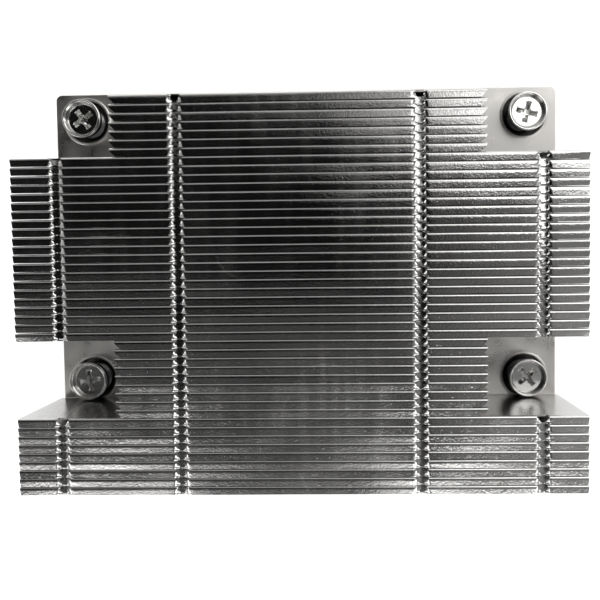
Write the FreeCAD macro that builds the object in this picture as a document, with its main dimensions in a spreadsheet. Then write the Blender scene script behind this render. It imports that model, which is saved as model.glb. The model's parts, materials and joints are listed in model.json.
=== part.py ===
"""Passive 1U server processor heatsink, as a parametric document.

A plated base plate carries a stack of zipper fins: thin sheets folded to a C, each with a top
flange that closes the gap to the next fin and snap locks that chain the flanges together. The fins
that pass the screws are short and leave four notches, in which captive screws stand on springs and
pull the base down on to the processor.

Frame: X along the fins, Y across the stack with fin_01 at +Y, Z up. The origin is the centre of the
screw pattern on the base's underside. Sizes are in millimetres.
"""

import os
import re

import FreeCAD
import Part
import Sketcher

V = FreeCAD.Vector

SIZES = (
    ("fin_length", 108.5, "length of a full fin"),
    ("fin_height", 20.0, "height of the fins over the base"),
    ("fin_count", 46, "number of fins"),
    ("fin_pitch", 1.65, "distance from one fin to the next"),
    ("fin_sheet", 0.3, "thickness of the fin's sheet"),
    ("flange_gap", 0.05, "gap between a flange's free edge and the next fin"),
    ("mitre_length", 1.1, "length cut off a flange's corners along the fin"),
    ("mitre_start", 0.5, "distance from the fin's back at which the mitre starts"),
    ("stack_back", 28.8, "back of the first fin, from the screw pattern's centre"),
    ("inner_lock", 22.85, "inner lock columns, from the middle"),
    ("outer_lock", 45.65, "outer lock columns, from the middle"),
    ("lock_mouth", 2.8, "width of a lock at the flange's top"),
    ("lock_floor", 1.5, "width of a lock's floor"),
    ("lock_depth", 0.9, "depth of a lock's floor below the flange's top"),
    ("tongue_gap", 0.08, "gap under a tongue in the next fin's window"),
    ("tongue_end_gap", 0.05, "gap between a tongue's tip and the next fin's lock floor"),
    ("notch_side", 11.7, "from a screw's axis to the ends of the short fins"),
    ("notch_inner", 10.75, "from a screw's axis to the full fins between the two rows of screws"),
    ("notch_play", 0.2, "least gap between a screw's head and the full fin in front of it"),
    ("base_thick", 5.0, "thickness of the base plate"),
    ("base_inset", 0.25, "distance of the base's ends from the ends of the full fins"),
    ("base_margin", 0.9, "width of the base behind the rear counterbores"),
    ("base_corner", 1.5, "radius of the base's corners"),
    ("base_chamfer", 0.3, "chamfer along the base's upper edge"),
    ("screw_span_long", 94.0, "screw to screw along the fins"),
    ("screw_span_cross", 56.0, "screw to screw across the stack"),
    ("shank_play", 0.3, "play round a screw's shank in its hole"),
    ("seat_play", 0.5, "play round a screw's head in the spring's counterbore"),
    ("seat_depth", 2.6, "depth of the spring's counterbore"),
    ("seat_chamfer", 0.6, "chamfer round the spring's counterbore"),
    ("pocket_play", 0.8, "play round a clip in its pocket in the base's underside"),
    ("pocket_depth", 1.0, "depth of the clip's pocket"),
    ("head_dia", 8.0, "diameter of a screw's cupped head"),
    ("head_height", 3.0, "height of the head"),
    ("head_lift", 0.9, "height of the head's underside over the base, at rest"),
    ("cup_wall", 0.45, "wall of the head's cup"),
    ("cup_depth", 2.0, "depth of the cup's floor under its rim"),
    ("pan_dia", 6.4, "diameter of the raised driving face in the cup"),
    ("pan_height", 0.7, "height of the driving face over the cup's floor"),
    ("shank_dia", 3.6, "diameter of the screw's plain shank"),
    ("thread_dia", 4.0, "outer diameter of the screw's thread, which starts under the clip's groove"),
    ("tip_reach", 5.4, "reach of the screw's tip under the base's underside"),
    ("tip_chamfer", 0.6, "chamfer of the screw's tip"),
    ("groove_dia", 3.0, "diameter of the groove for the clip"),
    ("groove_play", 0.2, "width of the groove beyond the clip's thickness"),
    ("cross_length", 4.4, "length of the cross recess's arms, tip to tip"),
    ("cross_width", 1.1, "width of the cross recess's arms"),
    ("cross_depth", 1.6, "depth of the cross recess"),
    ("cross_taper", 12.0, "taper of the cross recess in degrees"),
    ("clip_dia", 7.4, "outer diameter of the retaining clip"),
    ("clip_thick", 0.6, "thickness of the retaining clip"),
    ("clip_play", 0.08, "play round the groove in the clip's bore"),
    ("clip_mouth", 2.8, "width of the clip's open side"),
    ("stop_gap", 0.05, "gap left where pieces rest on each other"),
    ("spring_wire", 0.5, "diameter of the spring's wire"),
    ("spring_dia", 6.0, "mean diameter of the spring"),
    ("spring_turns", 2.75, "turns of the spring"),
)

# Each screw by its corner: side along X, side along Y and the turn at which its cross came to rest.
CORNERS = (
    ("back_left", -1, 1, 35.0),
    ("back_right", 1, 1, -14.0),
    ("front_left", -1, -1, 8.0),
    ("front_right", 1, -1, 40.0),
)

doc = FreeCAD.newDocument("server_cpu_heatsink")


def make_sizes():
    """Write the driving dimensions into a spreadsheet, each under an alias."""
    sheet = doc.addObject("Spreadsheet::Sheet", "Sizes")
    for row, (alias, value, meaning) in enumerate(SIZES, start=1):
        sheet.set(f"A{row}", meaning)
        sheet.set(f"B{row}", str(value))
        sheet.setAlias(f"B{row}", alias)
    doc.recompute()
    return sheet


sizes = make_sizes()
ALIASES = {alias for alias, _, _ in SIZES}


def sheet_terms(formula):
    """Point each alias in a formula at the spreadsheet."""
    return re.sub(r"[a-z_]+", lambda word: f"Sizes.{word[0]}" if word[0] in ALIASES else word[0], formula)


def value(formula):
    """Work a formula of the sheet's aliases out as a number."""
    result = sizes.evalExpression(sheet_terms(formula))
    return float(getattr(result, "Value", result))


def bind(item, **formulas):
    """Bind properties of an object to formulas of the sheet's aliases."""
    for name, formula in formulas.items():
        item.setExpression(name.replace("__", "."), sheet_terms(formula))


def new_body(name, **placement):
    """Add a body whose label names its node, with its place bound to formulas for x, y and z."""
    body = doc.addObject("PartDesign::Body", name)
    body.Label = name
    bind(body, **{f"Placement__Base__{axis}": formula for axis, formula in placement.items()})
    return body


def origin_item(body, role):
    """One of the body's own origin planes or axes."""
    return next(item for item in body.Origin.OriginFeatures if item.Role == role)


def new_sketch(body, name, plane, lift="0"):
    """Add a sketch on one of the body's origin planes, lifted along the plane's normal."""
    sketch = body.newObject("Sketcher::SketchObject", f"{body.Name}_{name}")
    sketch.AttachmentSupport = (origin_item(body, f"{plane}_Plane"), [""])
    sketch.MapMode = "FlatFace"
    bind(sketch, AttachmentOffset__Base__z=lift)
    return sketch


def tie(sketch, geometry, point, across, up):
    """Tie a point of the sketch's geometry to a pair of formulas, measured from the sketch's origin."""
    for kind, formula in (("DistanceX", across), ("DistanceY", up)):
        place = Sketcher.Constraint(kind, -1, 1, geometry, point, value(formula))
        sketch.setExpression(f"Constraints[{sketch.addConstraint(place)}]", sheet_terms(formula))


def draw_outline(sketch, corners):
    """Draw a closed outline of straight edges through corners, each a pair of formulas."""
    points = [V(value(across), value(up), 0) for across, up in corners]
    first = sketch.GeometryCount
    for start, end in zip(points, points[1:] + points[:1]):
        sketch.addGeometry(Part.LineSegment(start, end))
    for index, (across, up) in enumerate(corners):
        following = (index + 1) % len(corners)
        sketch.addConstraint(Sketcher.Constraint("Coincident", first + index, 2, first + following, 1))
        tie(sketch, first + index, 1, across, up)


def draw_circle(sketch, diameter):
    """Draw a circle round the sketch's origin, its diameter a formula."""
    radius = value(f"({diameter}) / 2")
    circle = sketch.addGeometry(Part.Circle(V(0, 0, 0), V(0, 0, 1), radius))
    size = sketch.addConstraint(Sketcher.Constraint("Diameter", circle, 2 * radius))
    sketch.setExpression(f"Constraints[{size}]", sheet_terms(diameter))
    tie(sketch, circle, 3, "0", "0")


def add_feature(body, kind, name, profile, **settings):
    """Add a PartDesign feature on a sketch, and check that it changed the body's volume."""
    before = body.Tip.Shape.Volume if body.Tip else 0.0
    feature = body.newObject(f"PartDesign::{kind}", f"{body.Name}_{name}")
    feature.Profile = profile
    for key, setting in settings.items():
        if isinstance(setting, str) and key in ("Length", "TaperAngle", "Pitch", "Turns"):
            bind(feature, **{key: setting})
        else:
            setattr(feature, key, setting)
    doc.recompute()
    if abs(feature.Shape.Volume - before) < 1e-4:
        raise RuntimeError(f"{feature.Name} changes nothing")
    return feature


def named_edges(body):
    """The edges of the body's tip, each with its name."""
    return [(f"Edge{number}", edge) for number, edge in enumerate(body.Tip.Shape.Edges, start=1)]


def add_dressing(body, kind, name, edge_names, **sizes_by_name):
    """Fillet or chamfer edges of the body's tip."""
    base = body.Tip
    dressing = body.newObject(f"PartDesign::{kind}", f"{body.Name}_{name}")
    dressing.Base = (base, edge_names)
    bind(dressing, **sizes_by_name)
    doc.recompute()
    return dressing


# ---- fins ----


def draw_lock_windows(sketch, columns):
    """The trapezoids that a fin's locks cut out of its top edge, deep enough to clear a tongue."""
    for column in columns:
        draw_outline(
            sketch,
            (
                (f"{column} - lock_mouth / 2", "fin_height"),
                (f"{column} - lock_floor / 2", "fin_height - lock_depth - fin_sheet - tongue_gap"),
                (f"{column} + lock_floor / 2", "fin_height - lock_depth - fin_sheet - tongue_gap"),
                (f"{column} + lock_mouth / 2", "fin_height"),
            ),
        )


def draw_lock_saddles(sketch, columns):
    """The flange pressed down into a floor with two sloped sides at each lock."""
    for column in columns:
        draw_outline(
            sketch,
            (
                (f"{column} - lock_mouth / 2", "fin_height"),
                (f"{column} - lock_mouth / 2", "fin_height - fin_sheet"),
                (f"{column} - lock_floor / 2", "fin_height - lock_depth - fin_sheet"),
                (f"{column} + lock_floor / 2", "fin_height - lock_depth - fin_sheet"),
                (f"{column} + lock_mouth / 2", "fin_height - fin_sheet"),
                (f"{column} + lock_mouth / 2", "fin_height"),
                (f"{column} + lock_floor / 2", "fin_height - lock_depth"),
                (f"{column} - lock_floor / 2", "fin_height - lock_depth"),
            ),
        )


def draw_lock_tongues(sketch, columns):
    """The floor's cross-section, which runs on past the flange as a tongue."""
    for column in columns:
        draw_outline(
            sketch,
            (
                (f"{column} - lock_floor / 2", "fin_height - lock_depth"),
                (f"{column} - lock_floor / 2", "fin_height - lock_depth - fin_sheet"),
                (f"{column} + lock_floor / 2", "fin_height - lock_depth - fin_sheet"),
                (f"{column} + lock_floor / 2", "fin_height - lock_depth"),
            ),
        )


def make_fin(number, length, columns):
    """One zipper fin: a sheet folded to a C that opens to -Y, with a lock at each column on both sides."""
    fin = new_body(f"fin_{number:02d}", y=f"stack_back - {number - 1} * fin_pitch", z="base_thick")
    free_edge = "flange_gap - fin_pitch"

    section = new_sketch(fin, "section", "YZ")
    draw_outline(
        section,
        (
            ("0", "0"),
            ("0", "fin_height"),
            (free_edge, "fin_height"),
            (free_edge, "fin_height - fin_sheet"),
            ("-fin_sheet", "fin_height - fin_sheet"),
            ("-fin_sheet", "fin_sheet"),
            (free_edge, "fin_sheet"),
            (free_edge, "0"),
        ),
    )
    add_feature(fin, "Pad", "sheet", section, Length=length, SideType="Symmetric")

    windows = new_sketch(fin, "windows", "XZ")
    draw_lock_windows(windows, columns)
    cut = add_feature(fin, "Pocket", "window_cut", windows, Length="fin_pitch", Reversed=True)

    saddles = new_sketch(fin, "saddles", "XZ", lift="fin_sheet")
    draw_lock_saddles(saddles, columns)
    floor = add_feature(fin, "Pad", "lock_floor", saddles, Length="fin_pitch - flange_gap - fin_sheet")

    tongues = new_sketch(fin, "tongues", "XZ", lift="fin_pitch - flange_gap - fin_sheet")
    draw_lock_tongues(tongues, columns)
    reach = "2 * fin_sheet + flange_gap - tongue_end_gap"
    tongue = add_feature(fin, "Pad", "lock_tongue", tongues, Length=reach)

    mitre = new_sketch(fin, "mitre", "XY", lift="fin_height / 2")
    draw_outline(
        mitre,
        (
            (f"{length} / 2", "-mitre_start"),
            (f"{length} / 2", f"{free_edge} - 1"),
            (f"{length} / 2 - mitre_length", f"{free_edge} - 1"),
            (f"{length} / 2 - mitre_length", free_edge),
        ),
    )
    corner = add_feature(fin, "Pocket", "mitre_cut", mitre, Type="ThroughAll", Reversed=True)

    mirrored = fin.newObject("PartDesign::Mirrored", f"{fin.Name}_far_half")
    mirrored.Originals = [cut, floor, tongue, corner]
    mirrored.MirrorPlane = (origin_item(fin, "YZ_Plane"), [""])
    fin.Tip = mirrored
    return fin


def passes_a_screw(number):
    """Whether a fin stands in the strip of either row of screws, so that it has to be short."""
    back = value(f"stack_back - {number - 1} * fin_pitch")
    front = back - value("fin_pitch")
    row = value("screw_span_cross / 2")
    inner_wall = row - value("notch_inner")
    front_wall = -row - value("head_dia / 2 + notch_play")
    return front > inner_wall - 0.001 or front_wall < back < 0.001 - inner_wall


def make_fins():
    """Stack the fins from the back to the front, short ones beside the screws."""
    fins = []
    for number in range(1, int(value("fin_count")) + 1):
        if passes_a_screw(number):
            fins.append(make_fin(number, "(screw_span_long - 2 * notch_side)", ("inner_lock",)))
        else:
            fins.append(make_fin(number, "fin_length", ("inner_lock", "outer_lock")))
    return fins


# ---- base plate ----


def make_base():
    """The plate under the fins, with a stepped hole at each corner for a screw, its spring and its clip."""
    plate = new_body("base_plate")
    pocket = "clip_dia / 2 + pocket_play"
    passage = "thread_dia / 2 + shank_play"
    seat = "head_dia / 2 + seat_play"

    outline = new_sketch(plate, "outline", "XY")
    end = "fin_length / 2 - base_inset"
    front = "stack_back - fin_count * fin_pitch"
    back = f"screw_span_cross / 2 + {seat} + seat_chamfer + base_margin"
    draw_outline(outline, ((f"-({end})", front), (end, front), (end, back), (f"-({end})", back)))
    add_feature(plate, "Pad", "plate", outline, Length="base_thick")

    upright = [edge_name for edge_name, edge in named_edges(plate) if edge.BoundBox.ZLength > 1]
    add_dressing(plate, "Fillet", "corners", upright, Radius="base_corner")

    top = value("base_thick")
    rim = [name for name, edge in named_edges(plate) if edge.BoundBox.ZMin > top - 0.01]
    add_dressing(plate, "Chamfer", "rim", rim, Size="base_chamfer")

    step = new_sketch(plate, "stepped_hole", "XZ", lift="-screw_span_cross / 2")
    axis = "screw_span_long / 2"
    draw_outline(
        step,
        (
            (axis, "0"),
            (f"{axis} + {pocket}", "0"),
            (f"{axis} + {pocket}", "pocket_depth"),
            (f"{axis} + {passage}", "pocket_depth"),
            (f"{axis} + {passage}", "base_thick - seat_depth"),
            (f"{axis} + {seat}", "base_thick - seat_depth"),
            (f"{axis} + {seat}", "base_thick - seat_chamfer"),
            (f"{axis} + {seat} + seat_chamfer", "base_thick"),
            (axis, "base_thick"),
        ),
    )
    hole = add_feature(plate, "Groove", "hole", step, ReferenceAxis=(step, ["Edge9"]))

    corners = plate.newObject("PartDesign::MultiTransform", f"{plate.Name}_corner_holes")
    mirrors = []
    for side, plane in (("left", "YZ"), ("front", "XZ")):
        mirror = doc.addObject("PartDesign::Mirrored", f"{plate.Name}_{side}_holes")
        mirror.MirrorPlane = (origin_item(plate, f"{plane}_Plane"), [""])
        plate.addObject(mirror)
        mirrors.append(mirror)
    corners.Originals = [hole]
    corners.Transformations = mirrors
    plate.Tip = corners
    return plate


# ---- screws, springs and clips ----


def screw_place(side_x, side_y):
    """The formulas for a screw's axis at one corner of the pattern."""
    return {"x": f"{side_x} * screw_span_long / 2", "y": f"{side_y} * screw_span_cross / 2"}


def make_screw(corner, side_x, side_y, turn):
    """A captive shoulder screw: a cupped head with a cross recess, a shank, a clip groove and a thread."""
    screw = new_body(f"screw_{corner}", **screw_place(side_x, side_y))
    screw.Placement.Rotation = FreeCAD.Rotation(V(0, 0, 1), turn)
    seat = "base_thick + head_lift"
    rim = f"{seat} + head_height"
    floor = f"{rim} - cup_depth"
    groove_top = "pocket_depth - stop_gap + groove_play / 2"
    groove_floor = f"{groove_top} - clip_thick - groove_play"
    section = new_sketch(screw, "section", "XZ")
    draw_outline(
        section,
        (
            ("0", "-tip_reach"),
            ("thread_dia / 2 - tip_chamfer", "-tip_reach"),
            ("thread_dia / 2", "tip_chamfer - tip_reach"),
            ("thread_dia / 2", groove_floor),
            ("groove_dia / 2", groove_floor),
            ("groove_dia / 2", groove_top),
            ("shank_dia / 2", groove_top),
            ("shank_dia / 2", seat),
            ("head_dia / 2", seat),
            ("head_dia / 2", rim),
            ("head_dia / 2 - cup_wall", rim),
            ("head_dia / 2 - cup_wall", floor),
            ("pan_dia / 2", floor),
            ("pan_dia / 2", f"{floor} + pan_height"),
            ("0", f"{floor} + pan_height"),
        ),
    )
    add_feature(screw, "Revolution", "turned", section, ReferenceAxis=(section, ["V_Axis"]))

    cross = new_sketch(screw, "cross", "XY", lift=f"{floor} + pan_height")
    arm, half = "cross_length / 2", "cross_width / 2"
    quarter = ((arm, f"-{half}"), (arm, half), (half, half))
    corners = []
    for turns in range(4):
        for across, up in quarter:
            corners.append(quarter_turned(across, up, turns))
    draw_outline(cross, corners)
    add_feature(screw, "Pocket", "recess", cross, Length="cross_depth", TaperAngle="-cross_taper")
    return screw


def quarter_turned(across, up, turns):
    """A pair of formulas turned about the origin by quarter turns."""
    for _ in range(turns):
        across, up = f"-({up})", across
    return across, up


def make_clip(corner, side_x, side_y):
    """An open retaining clip: a ring with a mouth, sprung into the screw's groove."""
    clip = new_body(f"clip_{corner}", z="pocket_depth - stop_gap - clip_thick", **screw_place(side_x, side_y))
    ring = new_sketch(clip, "ring", "XY")
    draw_circle(ring, "clip_dia")
    add_feature(clip, "Pad", "ring", ring, Length="clip_thick")

    bore = new_sketch(clip, "bore", "XY")
    draw_circle(bore, "groove_dia + 2 * clip_play")
    add_feature(clip, "Pocket", "bore_cut", bore, Type="ThroughAll", Reversed=True)

    mouth = new_sketch(clip, "mouth", "XY")
    half = "clip_mouth / 2"
    draw_outline(mouth, ((f"-{half}", "-clip_dia"), (half, "-clip_dia"), (half, "0"), (f"-{half}", "0")))
    add_feature(clip, "Pocket", "mouth_cut", mouth, Type="ThroughAll", Reversed=True)
    return clip


def make_spring(corner, side_x, side_y):
    """A compression spring between the counterbore's floor and the screw's head, as straight short chords."""
    steps_per_turn = 8
    wire, radius, turns = value("spring_wire"), value("spring_dia") / 2, value("spring_turns")
    bottom = value("base_thick - seat_depth + stop_gap + spring_wire / 2")
    top = value("base_thick + head_lift - stop_gap - spring_wire / 2")
    steps = round(turns * steps_per_turn)
    places = []
    for step in range(steps + 1):
        angle = 360.0 * step / steps_per_turn
        reach = FreeCAD.Rotation(V(0, 0, 1), angle).multVec(V(radius, 0, 0))
        places.append(reach + V(0, 0, bottom + (top - bottom) * step / steps))
    path = Part.makePolygon(places)
    start = (places[1] - places[0]).normalize()
    sideways = V(1, 0, 0)
    upward = start.cross(sideways)
    rim = []
    for corner_angle in range(0, 361, 60):
        spoke = FreeCAD.Rotation(start, corner_angle).multVec(upward)
        rim.append(places[0] + spoke * (wire / 2))
    coil = path.makePipeShell([Part.makePolygon(rim)], True, True, 1)
    spring = doc.addObject("Part::Feature", f"spring_{corner}")
    spring.Label = spring.Name
    spring.Shape = coil
    for axis, formula in screw_place(side_x, side_y).items():
        bind(spring, **{f"Placement__Base__{axis}": formula})
    return spring


# ---- checks and files ----


def check(pieces):
    """Stop if anything failed to build, or if a piece isn't one valid solid."""
    failed = [item.Name for item in doc.Objects if {"Invalid", "Error"} & set(item.State)]
    if failed:
        raise RuntimeError(f"failed: {failed}")
    for piece in pieces:
        shape = piece.Shape
        if shape.isNull() or not shape.isValid() or len(shape.Solids) != 1:
            raise RuntimeError(f"{piece.Label} is not one valid solid")


def main():
    """Build the pieces, check them and write each to its own file."""
    pieces = make_fins()
    pieces.append(make_base())
    for corner, side_x, side_y, turn in CORNERS:
        pieces.append(make_screw(corner, side_x, side_y, turn))
        pieces.append(make_clip(corner, side_x, side_y))
        pieces.append(make_spring(corner, side_x, side_y))
    doc.recompute()
    check(pieces)
    os.makedirs("parts", exist_ok=True)
    for piece in pieces:
        piece.Shape.exportStep(f"parts/{piece.Label}.step")


main()
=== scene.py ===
"""The looks of a passive 1U server processor heatsink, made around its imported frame.

Lengths are in metres. The frame gives where each piece stands. Every new piece is a surface worked
out with numpy, and each operator below makes one kind of piece.
"""

import json
import math

import bpy
import numpy as np
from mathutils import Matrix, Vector


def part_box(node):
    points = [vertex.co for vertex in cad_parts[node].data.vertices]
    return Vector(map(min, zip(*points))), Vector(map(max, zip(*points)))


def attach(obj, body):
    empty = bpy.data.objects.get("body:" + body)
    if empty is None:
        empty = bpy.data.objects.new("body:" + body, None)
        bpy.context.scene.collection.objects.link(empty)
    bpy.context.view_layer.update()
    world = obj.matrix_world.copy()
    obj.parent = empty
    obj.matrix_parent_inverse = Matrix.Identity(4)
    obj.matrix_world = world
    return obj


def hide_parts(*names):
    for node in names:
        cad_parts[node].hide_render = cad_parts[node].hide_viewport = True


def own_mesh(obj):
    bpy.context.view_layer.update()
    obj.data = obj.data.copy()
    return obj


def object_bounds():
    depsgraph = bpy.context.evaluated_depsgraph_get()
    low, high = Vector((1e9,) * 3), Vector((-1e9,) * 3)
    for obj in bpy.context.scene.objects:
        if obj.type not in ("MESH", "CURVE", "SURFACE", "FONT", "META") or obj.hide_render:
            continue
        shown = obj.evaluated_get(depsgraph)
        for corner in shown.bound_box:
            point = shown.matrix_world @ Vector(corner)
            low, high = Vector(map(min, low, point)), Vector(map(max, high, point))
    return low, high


bl_info = {
    "name": "Passive Server Heatsink",
    "version": (1, 0, 0),
    "blender": (4, 5, 0),
    "location": "View3D > Sidebar > Heatsink",
    "description": "Makes the fins, base, captive screws and studio of a 1U processor heatsink",
    "category": "Add Mesh",
}

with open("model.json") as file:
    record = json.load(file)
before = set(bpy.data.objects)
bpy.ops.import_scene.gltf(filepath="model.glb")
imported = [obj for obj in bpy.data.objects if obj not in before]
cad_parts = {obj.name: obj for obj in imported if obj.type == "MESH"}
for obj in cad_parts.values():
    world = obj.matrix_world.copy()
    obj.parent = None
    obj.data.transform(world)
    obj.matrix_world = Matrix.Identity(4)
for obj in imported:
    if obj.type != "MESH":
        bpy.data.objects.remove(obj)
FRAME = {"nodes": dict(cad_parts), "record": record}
CAD_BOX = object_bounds()
FIN_NODES = sorted(name for name in FRAME["nodes"] if name.startswith("fin_"))
CORNERS = sorted(name.removeprefix("screw_") for name in FRAME["nodes"] if name.startswith("screw_"))
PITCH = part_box(FIN_NODES[0])[1].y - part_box(FIN_NODES[1])[1].y
MM = 0.001


# ---- sizes and colours ----


def length_size(name, description, millimetres):
    """A length of the panel, its default given in millimetres."""
    return bpy.props.FloatProperty(
        name=name,
        description=description,
        default=millimetres * MM,
        precision=5,
        subtype="DISTANCE",
        unit="LENGTH",
    )


def metal_colour(name, description, colour):
    """A colour of the panel."""
    return bpy.props.FloatVectorProperty(
        name=name, description=description, default=colour, size=3, min=0, max=1, subtype="COLOR"
    )


class FinSizes(bpy.types.PropertyGroup):
    """Sizes of the folded fins and of the locks that chain them."""

    sheet: length_size("Sheet", "Thickness of the sheet", 0.3)
    fold: length_size("Fold radius", "Outer radius of the folds", 0.42)
    flange_gap: length_size("Flange gap", "Gap between a flange's free edge and the next fin", 0.05)
    inner_lock: length_size("Inner locks", "Distance of the inner locks from the middle", 22.85)
    outer_lock: length_size("Outer locks", "Distance of the outer locks from the middle", 45.65)
    lock_mouth: length_size("Lock mouth", "Width of a lock at the fin's back", 2.75)
    lock_foot: length_size("Lock foot", "Width of the web's window at its foot", 1.6)
    lock_depth: length_size("Lock depth", "Depth of the web's window under the flange", 0.85)
    hole_front: length_size("Hole front", "Width of the flange's hole at its front", 0.8)
    hole_length: length_size("Hole length", "Length of the flange's hole from the fin's back", 1.34)
    dimple: length_size("Dimple", "Drop of the flange round the root of a tongue", 0.38)
    dimple_slope: length_size("Dimple slope", "Width of a dimple's sloped side", 0.8)
    tongue: length_size("Tongue", "Reach of a tongue into the next fin's hole", 1.26)
    tongue_width: length_size("Tongue width", "Width of a tongue", 1.84)
    tongue_rise: length_size("Tongue rise", "Rise of a tongue from its root to its tip", 0.11)
    tongue_play: length_size("Tongue play", "Gap between a tongue and the hole it fills", 0.09)
    mitre: length_size("Mitre", "Length that the mitre takes off a short fin's free edge", 1.1)
    full_mitre: length_size("Full fin mitre", "Length that the mitre takes off a full fin's free edge", 0.2)
    mitre_start: length_size("Mitre start", "Distance of the mitre's start from the fin's back", 0.5)
    flange_tilt: length_size("Flange tilt", "Usual rise or fall of a flange's free edge", 0.026)
    web_wave: length_size("Web wave", "Usual bow of a fin out of its plane", 0.02)


class HardwareSizes(bpy.types.PropertyGroup):
    """Sizes of the captive screws, their springs and clips."""

    cup_wall: length_size("Cup wall", "Wall of the head's cup", 0.45)
    cup_taper: length_size("Cup taper", "Narrowing of the head from its rim to its foot", 0.45)
    cup_depth: length_size("Cup depth", "Depth of the cup's floor under its rim", 2.0)
    face_radius: length_size("Face radius", "Radius of the driving face in the cup", 3.2)
    face_height: length_size("Face height", "Height of the driving face over the cup's floor", 0.7)
    arm_reach: length_size("Cross reach", "Reach of the cross recess from the axis", 2.2)
    arm_half: length_size("Cross half width", "Half the width of the cross recess's arms", 0.5)
    cross_depth: length_size("Cross depth", "Depth of the cross recess", 1.6)
    shank: length_size("Shank radius", "Radius of the screw's plain shank", 1.8)
    groove: length_size("Groove radius", "Radius of the groove for the clip", 1.5)
    thread_pitch: length_size("Thread pitch", "Pitch of the thread", 0.7)
    thread_depth: length_size("Thread depth", "Depth of the thread", 0.38)
    spring_wire: length_size("Spring wire", "Diameter of the spring's wire", 0.5)
    spring_turns: bpy.props.FloatProperty(
        name="Spring turns", description="Turns of the spring", default=3.75, min=2
    )


class Finish(bpy.types.PropertyGroup):
    """Colours of the metals."""

    fin: metal_colour("Fin sheet", "Rolled aluminium of the fins", (0.75, 0.74, 0.725))
    plate: metal_colour("Base plating", "Plating of the base", (0.74, 0.72, 0.69))
    screw: metal_colour("Screw plating", "Nickel plating of the screws", (0.82, 0.815, 0.80))
    spring: metal_colour("Spring wire", "Plated spring wire", (0.62, 0.62, 0.63))
    clip: metal_colour("Clip steel", "Plain steel of the clips", (0.45, 0.45, 0.46))
    floor: metal_colour("Floor", "Pale studio floor", (0.90, 0.90, 0.90))


class Studio(bpy.types.PropertyGroup):
    """Place of the camera over the heatsink."""

    camera_place: bpy.props.FloatVectorProperty(
        name="Camera place",
        description="Where the camera stands",
        default=(0.01011, -0.00231, 0.15008),
        precision=5,
        size=3,
        subtype="TRANSLATION",
        unit="LENGTH",
    )
    camera_turn: bpy.props.FloatVectorProperty(
        name="Camera turn",
        description="How the camera is turned from looking straight down",
        default=tuple(math.radians(angle) for angle in (-2.489, 1.298, -0.686)),
        size=3,
        subtype="EULER",
        unit="ROTATION",
    )
    camera_lens: bpy.props.FloatProperty(
        name="Lens", description="Focal length on a 36 mm sensor", default=40.07, min=1, unit="CAMERA"
    )
    camera_shift: bpy.props.FloatVectorProperty(
        name="Lens shift", description="Shift of the lens", default=(-0.0623, -0.0207), size=2
    )


# ---- meshes ----


def add_piece(name, points, faces, material, body, replaced, sharp=35):
    """Make a smooth shaded mesh that stands for CAD nodes, with edges sharper than an angle kept sharp."""
    mesh = bpy.data.meshes.new(name)
    used, faces_of_used = compact(faces)
    mesh.from_pydata(points[used].tolist(), [], faces_of_used)
    mesh.validate()
    mesh.shade_smooth()
    mesh.set_sharp_from_angle(angle=math.radians(sharp))
    mesh.materials.append(material)
    piece = bpy.data.objects.new(name, mesh)
    bpy.context.scene.collection.objects.link(piece)
    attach(piece, body)
    if replaced:
        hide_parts(*replaced)
    return piece


def compact(faces):
    """The points that faces use, and the faces numbered among those only."""
    used, numbered = np.unique(np.concatenate([group.ravel() for group in faces]), return_inverse=True)
    ends = np.cumsum([group.size for group in faces])[:-1]
    groups = [part.reshape(group.shape) for part, group in zip(np.split(numbered, ends), faces)]
    return used, [face for group in groups for face in group.tolist()]


def body_of(node):
    """The CAD body that a node rides on."""
    bodies = FRAME["record"]["behaviour"]["bodies"]
    return next(body for body, nodes in bodies.items() if node in nodes)


def tube_faces(rows, columns, ring=False):
    """Quads over a grid of points whose columns close on themselves, and in a ring its rows too."""
    row, column = np.meshgrid(np.arange(rows if ring else rows - 1), np.arange(columns), indexing="ij")
    across, down = (column + 1) % columns, (row + 1) % rows
    places = [(row, column), (row, across), (down, across), (down, column)]
    return np.stack([r * columns + c for r, c in places], axis=-1).reshape(-1, 4)


def smooth_step(share):
    """3s^2 - 2s^3: rises smoothly from 0 to 1 as the share does."""
    share = np.clip(share, 0, 1)
    return share * share * (3 - 2 * share)


# ---- fins ----

# Rows and columns closer than this count as being in the same place.
NEAR = 0.01 * MM
# The shares of a lock's half width that the tongue's columns and the tongue's root take.
TONGUE_LANES, TONGUE_ROOT = 0.54, 0.95
# The width beside a lock, and the length at a fin's end, over which columns are drawn in.
LOCK_MARGIN, END_RUN = 1.2 * MM, 3.0 * MM
LONGEST_CELL = 3.2 * MM
FIN_SEED = 4000


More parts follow.
